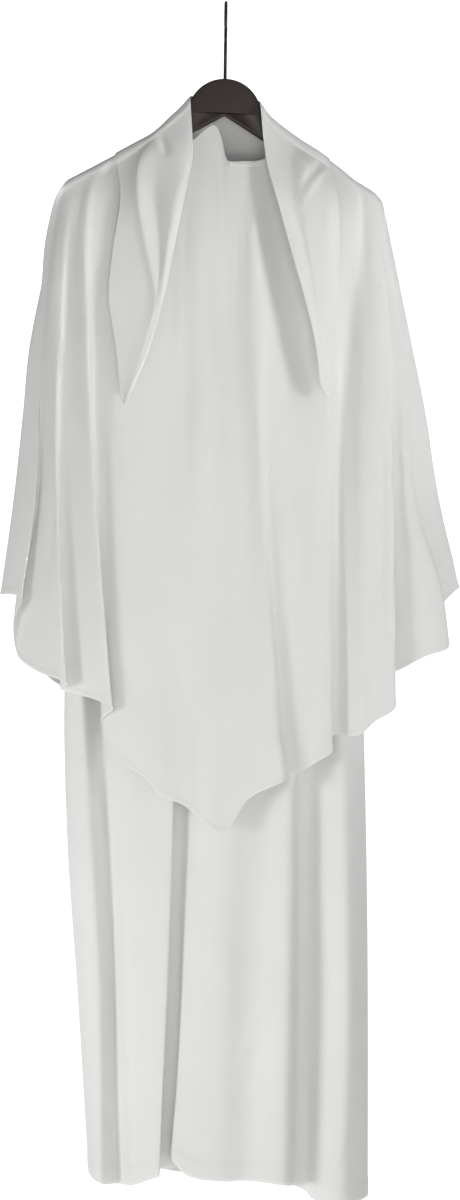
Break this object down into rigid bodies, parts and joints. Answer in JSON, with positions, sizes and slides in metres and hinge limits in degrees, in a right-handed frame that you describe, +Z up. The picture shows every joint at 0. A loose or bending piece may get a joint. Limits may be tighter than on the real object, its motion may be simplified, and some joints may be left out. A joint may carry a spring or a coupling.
{
  "type": "djellaba, a hooded cape over a long dress, on a clothes hanger",
  "caption": "Long straight dress under a loose hooded cape with a pointed front hem and deep side folds, hanging as a set on a dark wooden hanger with a wire hook.",
  "frame": {"origin": "top of the inside of the hanger's hook, where it rests on a rail", "axes": "+X to the viewer's right along the rail's normal, +Y away from the viewer along the rail, +Z up"},
  "size_m": [0.6072, 0.1512, 1.5763],
  "materials": {
    "crepe": "matte off-white crepe",
    "dark_wood": "satin, near black",
    "black_wire": "satin, near black"
  },
  "bodies": {
    "root": {"dress_front_top": "crepe", "dress_front_waist": "crepe", "dress_front_knee": "crepe", "dress_front_hem": "crepe", "dress_back_top": "crepe", "dress_back_waist": "crepe", "dress_back_knee": "crepe", "dress_back_hem": "crepe", "cape_front_top": "crepe", "cape_front_middle": "crepe", "cape_front_hem": "crepe", "cape_back_top": "crepe", "cape_back_middle": "crepe", "cape_back_hem": "crepe", "neck_binding": "crepe", "hood_front_left": "crepe", "hood_front_right": "crepe", "hood_back": "crepe", "hanger_wood": "dark_wood", "hanger_hook": "black_wire"}
  },
  "joints": []
}
